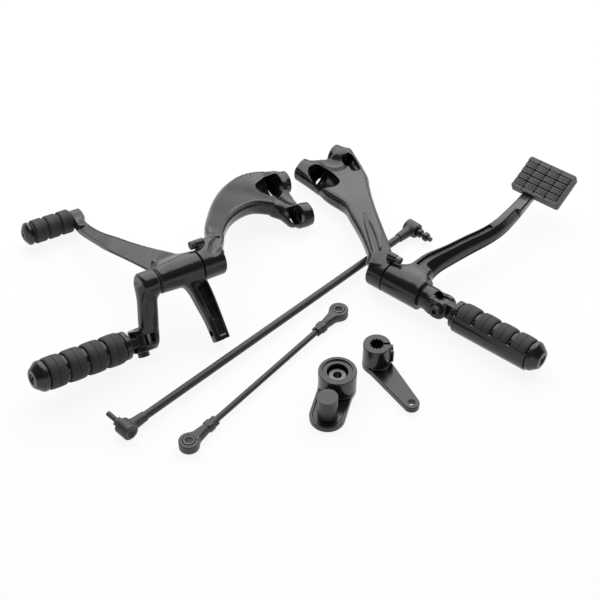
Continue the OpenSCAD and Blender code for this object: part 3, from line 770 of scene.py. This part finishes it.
def pegBodyShape(turn):
    centre = spineCentre(turn)
    look = pegLook

    def shape(p):
        radial = np.hypot(p[:, 1], p[:, 2])
        facing = np.clip((p[:, 1:] @ centre) / np.maximum(radial, 0.01), -1, 1)
        across = np.degrees(np.arccos(facing))
        middle = (look["start"] + look["end"]) / 2
        reach = (look["start"] - look["end"]) / 2
        shell = np.maximum(radial - look["spine"], look["core"] - 2 - radial)
        wall = np.maximum(shell, np.abs(p[:, 0] - middle) - reach)
        spine = (across - look["spineArc"] / 2) * math.pi / 180 * 14.5
        pitch = look["padPitch"]
        offset = np.abs((look["start"] - p[:, 0] + pitch / 2) % pitch - pitch / 2)
        low = np.maximum((across - look["spineArc"] / 2 - look["fingerArc"]) * math.pi / 180 * 14.5,
                         radial - look["padRadius"] + 0.4)
        finger = np.maximum(offset - look["finger"], low)
        d = edged(wall + 0.6, smoothUnion(spine, finger, 1.8) + 0.6, 0.6)
        d = smoothUnion(d, bar(p, look["end"], -15, look["core"]), 0.6)
        d = smoothUnion(d, bar(p, -20.5, -15, look["collar"], edge=0.9), 0.4)
        tongue = block(p, (-8.5, 0, 0), (8.5, 7.8, 4.8), edge=0.8)
        tongue = smoothUnion(tongue, rod(p, (0, 0, -4.9), (0, 0, 4.9), 8, edge=0.6), 0.6)
        d = smoothUnion(d, tongue, 2)
        d = smoothCut(d, rod(p, (0, 0, -9), (0, 0, 9), 3.1), 0.3)
        return np.maximum(d, -bar(p, -110, -81, 3))
    return shape


def pegCapShape():
    look = pegLook

    def shape(p):
        radial = np.hypot(p[:, 1], p[:, 2])
        slope = (look["capRadius"] - look["capTip"]) / 7.6
        cone = (radial - look["capTip"] - (p[:, 0] - look["capEnd"]) * slope) / math.hypot(1, slope)
        disc = bar(p, look["capEnd"], look["capStart"], look["capRadius"], edge=0.7)
        d = edged(cone + 0.7, disc + 0.7, 0.7)
        d = smoothCut(d, bar(p, look["capEnd"] - 3, look["capEnd"] + 5, look["recess"]), 0.6)
        return np.maximum(d, -bar(p, -120, -90, 3.05))
    return shape


def revolved(profile, arc, first, rings):
    # a closed loop of x, radius turned about X through an arc
    profile = np.array(profile, float)
    whole = arc >= 360
    angles = np.radians(first + np.linspace(0, arc, rings + 1)[:rings if whole else rings + 1])
    points = np.concatenate([np.stack([profile[:, 0], profile[:, 1] * math.cos(a),
                                       profile[:, 1] * math.sin(a)], 1) for a in angles])
    count, faces = len(profile), []
    for i in range(rings):
        near, far = i * count, ((i + 1) % len(angles)) * count
        for j in range(count):
            k = (j + 1) % count
            faces.append((near + j, far + j, far + k, near + k))
    if not whole:
        faces.append(tuple(range(count)))
        faces.append(tuple(range(len(points) - count, len(points)))[::-1])
    return points, faces


def copiesTree():
    # copies one shape over columns and rows, then gives the copies their finish
    tree = bpy.data.node_groups.new("spacedCopies", "GeometryNodeTree")
    face = tree.interface
    face.new_socket("Shape", in_out="INPUT", socket_type="NodeSocketGeometry")
    for title, kind in (("Columns", "NodeSocketInt"), ("Rows", "NodeSocketInt"),
                        ("Column Step", "NodeSocketVector"), ("Row Step", "NodeSocketVector"),
                        ("Finish", "NodeSocketMaterial")):
        face.new_socket(title, in_out="INPUT", socket_type=kind)
    face.new_socket("Copies", in_out="OUTPUT", socket_type="NodeSocketGeometry")
    given = tree.nodes.new("NodeGroupInput")
    result = tree.nodes.new("NodeGroupOutput")

    def add(kind, links):
        made = tree.nodes.new(kind)
        for key, source in links.items():
            tree.links.new(source, made.inputs[key])
        return made.outputs[0]

    given = given.outputs
    across = add("GeometryNodeMeshLine",
                 {"Count": given["Columns"], "Offset": given["Column Step"]})
    along = add("GeometryNodeMeshLine", {"Count": given["Rows"], "Offset": given["Row Step"]})
    grid = add("GeometryNodeInstanceOnPoints", {"Points": across, "Instance": along})
    spots = add("GeometryNodeRealizeInstances", {0: grid})
    placed = add("GeometryNodeInstanceOnPoints", {"Points": spots, "Instance": given["Shape"]})
    whole = add("GeometryNodeRealizeInstances", {0: placed})
    dressed = add("GeometryNodeSetMaterial", {"Geometry": whole, "Material": given["Finish"]})
    tree.links.new(dressed, result.inputs[0])
    return tree


spacedCopies = copiesTree()


def spacedOut(columns, rows, columnStep, rowStep=(0, 0, 0)):
    return {"Columns": columns, "Rows": rows, "Column Step": columnStep, "Row Step": rowStep}


def copied(name, points, faces, spacing, place, finishOf, sharp=35):
    # the copies as a plain mesh in the layout
    slot, material = finishOf
    seed = meshFrom(name + "Seed", np.asarray(points, float), [tuple(f) for f in faces], material)
    modifier = seed.modifiers.new("spacedCopies", "NODES")
    modifier.node_group = spacedCopies
    given = {item.name: item.identifier for item in spacedCopies.interface.items_tree
             if item.item_type == "SOCKET" and item.in_out == "INPUT"}
    for title, value in spacing.items():
        modifier[given[title]] = value
    modifier[given["Finish"]] = material
    bpy.context.view_layer.update()
    graph = bpy.context.evaluated_depsgraph_get()
    mesh = bpy.data.meshes.new_from_object(seed.evaluated_get(graph))
    bpy.data.objects.remove(seed)
    spots = np.empty(len(mesh.vertices) * 3)
    mesh.vertices.foreach_get("co", spots)
    mesh.vertices.foreach_set("co", place.toWorld(spots.reshape(-1, 3)).ravel())
    if place.mirrored():
        mesh.flip_normals()
    mesh.update()
    mesh.polygons.foreach_set("use_smooth", np.ones(len(mesh.polygons), bool))
    mesh.set_sharp_from_angle(angle=math.radians(sharp))
    piece = bpy.data.objects.new(name, mesh)
    bpy.context.scene.collection.objects.link(piece)
    return piece


padProfile = [(0, 12.65), (0, 14.2), (0.35, 14.75), (1.1, 15.1), (3, 15.35), (6, 15.5),
              (8.1, 15.5), (8.25, 15.05), (8.55, 15.05), (8.7, 15.5), (10.8, 15.5), (13.8, 15.35),
              (15.7, 15.1), (16.45, 14.75), (16.8, 14.2), (16.8, 12.65)]
for side, place, turn, body in (("left", leftPegPlace, 80, "left_peg"),
                                ("right", rightPegPlace, 31, "right_peg")):
    cast(side + "PegBodyCasting", pegBodyShape(turn), place, (-104, -18, -18), (10, 18, 18), 0.6,
         glossBlack, body, [side + "_peg_body"])
    cast(side + "PegCapTurning", pegCapShape(), place, (-115, -16, -16), (-101, 16, 16), 0.5,
         glossBlack, body, [side + "_peg_cap"])
    arc = 360 - pegLook["spineArc"] - 2
    opposite = math.degrees(math.atan2(*(-spineCentre(turn))[::-1]))
    points, faces = revolved(padProfile, arc, opposite - arc / 2, 72)
    points[:, 0] += pegLook["start"] - (pegLook["padPitch"] + pegLook["padWide"]) / 2
    spacing = spacedOut(4, 1, (-pegLook["padPitch"], 0, 0))
    pads = copied(side + "PegPadRings", points, faces, spacing, place, rubberBlack)
    finish(pads, body, rubberBlack[0], [side + "_peg_pads"])

# shift peg rubber
ringProfile = [(-14.98, 6.05), (-14.98, 10.3), (-13.3, 10.4), (-13.0, 11.9), (-12.4, 12.4),
               (-8.5, 12.5), (-7.3, 12.2), (-6.1, 12.5), (-2.1, 12.4), (-1.5, 11.9),
               (-1.2, 10.4), (-0.2, 10.3), (-0.2, 6.05)]
ringPitch = 15
points, faces = revolved(ringProfile, 360, 0, 80)
shiftRings = copied("shiftPegRings", points, faces, spacedOut(3, 1, (-ringPitch, 0, 0)),
                    shiftPegPlace, rubberBlack)
finish(shiftRings, "shift_lever", rubberBlack[0], ["shift_peg_rubber"])

# brake pad tread, X across the lever, Y along it
tread = {
    "half": (28.5, 20.5), "floor": 3.9, "top": 6.0, "columnPitch": 13.2, "rowPitch": 7.6,
    "block": (12.5, 6.3), "firstColumn": 21.75, "firstRow": 10.7, "rim": -25.6, "pit": 0.9,
    "notch": [[-50.3, 163.7, 15.5, 6.8, 5.6], [-47.5, 180, 13, 6.8, 4.6],
              [-47.5, 194, 15.5, 6.8, 4.3]],
    "grooveHalf": 0.42, "grooveFloor": 0.2, "grooveDeep": 0.55,
}


def padBaseShape():
    look = tread
    notch = Strand(look["notch"], (0, 0, 1))

    def shape(q):
        p = q @ brakePadTurn.T + brakePadAt
        flat = section(q[:, 0], q[:, 1], *look["half"], 3)
        d = edged(flat + 0.9, np.abs(q[:, 2] - 1.5) - 4.5 + 0.9, 0.9)
        trough = section(q[:, 0] - (look["rim"] + 34) / 2, q[:, 1] + 0.75,
                         (34 - look["rim"]) / 2, 15.2, 0.5)
        d = smoothCut(d, np.maximum(trough, look["floor"] - q[:, 2]), 0.5)
        for i in range(3):
            across = q[:, 0] - look["firstColumn"] + look["columnPitch"] * (i + 0.5)
            d = smoothCut(d, np.maximum(np.abs(across) - 0.35, look["top"] - 0.5 - q[:, 2]), 0.3)
            along = np.abs(q[:, 1] - look["firstRow"] + look["rowPitch"] * 1.5)
            row = np.clip(np.round(along / look["rowPitch"]), 0, 2)
            along = np.abs(along - row * look["rowPitch"])
            pit = np.maximum(np.maximum(np.abs(across), along) - look["pit"], 2.4 - q[:, 2])
            d = smoothCut(d, pit, 0.3)
        d = smoothCut(d, block(q, (0, 0, -3), (25.6, 17.6, 3.05), edge=0.3), 0.2)
        return np.maximum(d, -notch.solid(p))
    return shape


cast("brakePadRubberBase", padBaseShape(), brakePadPlace, (-30, -22, -4), (30, 22, 7), 0.5,
     treadRubber, "brake_lever", ["brake_pad_rubber"])


def treadBlock():
    # one block with three ribs along it
    wide, deep = tread["block"]
    floor, top = tread["floor"] - 0.3, tread["top"] - 0.05
    profile = [(-deep / 2, floor), (-deep / 2, top - 0.35), (-deep / 2 + 0.35, top)]
    half, narrow, bottom = tread["grooveHalf"], tread["grooveFloor"], top - tread["grooveDeep"]
    for groove in (-deep / 6, deep / 6):
        profile += [(groove - half, top), (groove - narrow, bottom),
                    (groove + narrow, bottom), (groove + half, top)]
    profile += [(deep / 2 - 0.35, top), (deep / 2, top - 0.35), (deep / 2, floor)]
    count = len(profile)
    stations = [(-wide / 2, 0.3), (-wide / 2 + 0.6, 0), (wide / 2 - 0.6, 0), (wide / 2, 0.3)]
    points = [(x, y * (1 - drop * 0.6), z - (drop if z > floor + 0.1 else 0))
              for x, drop in stations for y, z in profile]
    faces = [tuple(range(count))]
    for i in range(3):
        for j in range(count):
            k = (j + 1) % count
            faces.append((i * count + k, i * count + j, (i + 1) * count + j, (i + 1) * count + k))
    faces.append(tuple(range(3 * count, 4 * count))[::-1])
    return np.array(points) + (tread["firstColumn"], tread["firstRow"], 0), faces


points, faces = treadBlock()
spacing = spacedOut(4, 4, (-tread["columnPitch"], 0, 0), (0, -tread["rowPitch"], 0))
treadBlocks = copied("brakePadTread", points, faces, spacing, brakePadPlace, treadRubber)
finish(treadBlocks, "brake_lever", treadRubber[0], None)

# linkage rod ends
rodEnds = {"socket": 8, "socketLong": 15, "opening": 4.6, "ball": 5.3,
           "eye": 9.5, "eyeHigh": 9, "eyeBall": 7.3, "neckHalf": 4.85}


def socketShape():
    look = rodEnds

    def shape(p):
        half = look["socketLong"] / 2
        d = rod(p, (0, -half, 0), (0, half, 0), look["socket"], edge=1.4)
        d = smoothUnion(d, bar(p, 3, 22, 6.0, 4.8, edge=0.5), 1.8)
        d = np.maximum(d, -(np.linalg.norm(p, axis=1) - look["ball"]))
        d = smoothCut(d, rod(p, (0, 0, 0), (0, -12, 0), look["opening"]), 0.7)
        cap = np.hypot(p[:, 0], p[:, 2])
        d = smoothCut(d, np.maximum(np.abs(cap - 3.6) - 0.7, 6.6 - p[:, 1]), 0.3)
        d = smoothCut(d, rod(p, (0, 6.4, 0), (0, 12, 0), 1.6), 0.3)
        return np.maximum(d, -bar(p, 10, 30, 4.02))
    return shape


def eyeShape():
    look = rodEnds

    def shape(p):
        half = look["eyeHigh"] / 2
        d = rod(p, (0, 0, -half), (0, 0, half), look["eye"], edge=0.9)
        d = smoothUnion(d, bar(p, 6, 26, 6.6, 4.4), 2.5)
        d = smoothUnion(d, bar(p, 23.5, 30, 5.9, edge=1.4), 1.2)
        d = np.maximum(d, np.abs(p[:, 2]) - look["neckHalf"])
        d = smoothCut(d, np.linalg.norm(p, axis=1) - look["eyeBall"], 0.3)
        return np.maximum(d, -bar(p, 18, 40, 3.02))
    return shape


def flipped(place, at, signs):
    return place.inner(at, np.diag(np.array(signs, float)))


for name, place, node, shape, size in (
        ("nearSocketForging", flipped(longRodPlace, (0, 0, 0), (1, -1, 1)),
         "near_socket", socketShape(), 9),
        ("farSocketForging", flipped(longRodPlace, (longRodLength, 0, 0), (-1, 1, 1)),
         "far_socket", socketShape(), 9),
        ("nearEyeForging", shortRodPlace,
         "near_rod_end", eyeShape(), 10.5),
        ("farEyeForging", flipped(shortRodPlace, (shortRodLength, 0, 0), (-1, 1, 1)),
         "far_rod_end", eyeShape(), 10.5)):
    cast(name, shape, place, (-size - 1, -size - 1, -size), (32, size + 1, size), 0.45,
         mattBlack, "fixed_parts", [node])

# relay arm and splined clamp arm
relayLook = {"plate": 16.7, "thick": 6, "reach": 37, "hub": 18, "high": 26, "ring": 14.2,
             "recess": 9.8, "bore": 8, "post": 5.5, "tray": 3.2, "trayEnd": 17, "trayDeep": 0.7}
clampLook = {"hub": 13, "high": 29, "bore": 5.6, "splines": 12, "splineDeep": 6.6,
             "splineHalf": 0.8, "reach": 61, "root": 12.4, "tip": 7.5, "thick": 6.5,
             "hole": 3.2, "slit": 62}


def relayShape():
    look = relayLook

    def shape(p):
        t = np.clip(p[:, 0], 0, look["reach"])
        flat = np.hypot(p[:, 0] - t, p[:, 1]) - look["plate"]
        half = look["thick"] / 2
        d = edged(flat + 0.8, np.abs(p[:, 2] - half) - half + 0.8, 0.8)
        at = look["reach"]
        d = smoothUnion(d, rod(p, (at, 0, 0), (at, 0, look["high"]), look["hub"], edge=1.0), 1.5)
        d = smoothCut(d, rod(p, (at, 0, look["high"] - 1.5), (at, 0, 40), look["ring"]), 0.6)
        tray = np.maximum(p[:, 0] - look["trayEnd"], look["thick"] - look["trayDeep"] - p[:, 2])
        d = smoothCut(d, np.maximum(flat + look["tray"], tray), 0.5)
        d = smoothCut(d, rod(p, (at, 0, 4), (at, 0, 40), look["recess"]), 0.9)
        d = smoothCut(d, rod(p, (at, 0, -5), (at, 0, 40), look["bore"]), 0.3)
        return smoothCut(d, rod(p, (0, 0, -5), (0, 0, 20), look["post"]), 0.3)
    return shape


def clampShape():
    look = clampLook
    side = turned("Z", look["slit"])

    def shape(p):
        q = p @ side
        hub = rod(p, (0, 0, 0), (0, 0, look["high"]), look["hub"], edge=1.0)
        ear = block(q, (12, 0, look["thick"] + 9.5), (4, 6, 6.5), edge=1.2)
        d = smoothUnion(hub, ear, 1.2)
        t = np.clip(p[:, 0] / look["reach"], 0, 1)
        radius = look["root"] + (look["tip"] - look["root"]) * t
        flat = np.hypot(p[:, 0] - t * look["reach"], p[:, 1]) - radius
        half = look["thick"] / 2
        d = smoothUnion(d, edged(flat + 0.8, np.abs(p[:, 2] - half) - half + 0.8, 0.8), 2.0)
        radial = np.hypot(p[:, 0], p[:, 1])
        turn = np.arctan2(p[:, 1], p[:, 0]) * look["splines"] / (2 * math.pi)
        tooth = np.abs(turn - np.round(turn)) * 2 * math.pi / look["splines"] * radial
        spline = np.maximum(radial - look["splineDeep"], tooth - look["splineHalf"])
        bore = np.minimum(radial - look["bore"], spline)
        d = smoothCut(d, bore, 0.25)
        slit = np.maximum(np.abs(q[:, 1]) - 1, np.maximum(look["thick"] - p[:, 2], -q[:, 0]))
        d = smoothCut(d, slit, 0.3)
        at = look["reach"]
        return smoothCut(d, rod(p, (at, 0, -5), (at, 0, 20), look["hole"]), 0.5)
    return shape


cast("relayArmCasting", relayShape(), relayPlace, (-18, -19, -1), (57, 19, 27), 0.6,
     glossBlack, "fixed_parts", ["relay_arm"])
cast("clampArmForging", clampShape(), clampPlace, (-15, -15, -1), (70, 18, 30), 0.5,
     glossBlack, "fixed_parts", ["clamp_arm"])

# floor, light and surroundings
studio = {"softboxLight": 3.0, "softboxSize": (3.6, 2.2), "softboxAway": 1.7, "softboxHeight": 52.0,
          "floorWhite": 0.9, "floorShown": 0.9, "dim": 0.05, "glowHeight": 0.2, "glowFade": 8.0}
floorMesh = bpy.data.meshes.new("paleFloor")
floorMesh.from_pydata([(-30, -30, 0), (30, -30, 0), (30, 30, 0), (-30, 30, 0)], [], [(0, 1, 2, 3)])
floor = bpy.data.objects.new("paleFloor", floorMesh)
bpy.context.scene.collection.objects.link(floor)
floor.location.z = -0.0002


def floorLook(finish):
    # nearly white where it is seen, also in reflections, and plainly lit for other rays
    ray = finish.add("ShaderNodeLightPath")
    seen = (ray[0] + ray[3] + ray[6]).atMost(1.0)
    lit = finish.add("ShaderNodeBsdfDiffuse", None, {"Color": grey(studio["floorWhite"])})[0]
    white = finish.add("ShaderNodeEmission", None, {"Color": (1, 1, 1, 1), "Strength": 1.0})[0]
    return finish.add("ShaderNodeMixShader", None, [seen * studio["floorShown"], lit, white])[0]


floorMesh.materials.append(newFinish("whiteFloor", floorLook))
world = bpy.data.worlds.new("studio")
bpy.context.scene.world = world
world.use_nodes = True
sky = Finish(world.node_tree)
direction = sky.add("ShaderNodeTexCoord")[0]
height = sky.add("ShaderNodeSeparateXYZ", None, {0: direction})[2]
fading = (height - studio["glowHeight"]) * studio["glowFade"]
level = (1.0 - fading).atMost(1.0).atLeast(studio["dim"])
backdrop = sky.add("ShaderNodeBackground", None, {"Color": (1, 1, 1, 1), "Strength": level})[0]
sky.add("ShaderNodeOutputWorld", None, {"Surface": backdrop})
lamp = bpy.data.lights.new("softbox", "AREA")
lamp.shape = "RECTANGLE"
lamp.size, lamp.size_y = studio["softboxSize"]
lamp.energy = studio["softboxLight"] * math.pi * lamp.size * lamp.size_y
softbox = bpy.data.objects.new("softbox", lamp)
bpy.context.scene.collection.objects.link(softbox)
raised = math.radians(studio["softboxHeight"])
away = studio["softboxAway"]
softbox.location = (0, away * math.cos(raised), away * math.sin(raised))
softbox.rotation_euler = (raised - math.pi / 2, 0, 0)
softbox.visible_camera = False
bpy.context.scene.view_settings.view_transform = "Standard"
print("studio set")
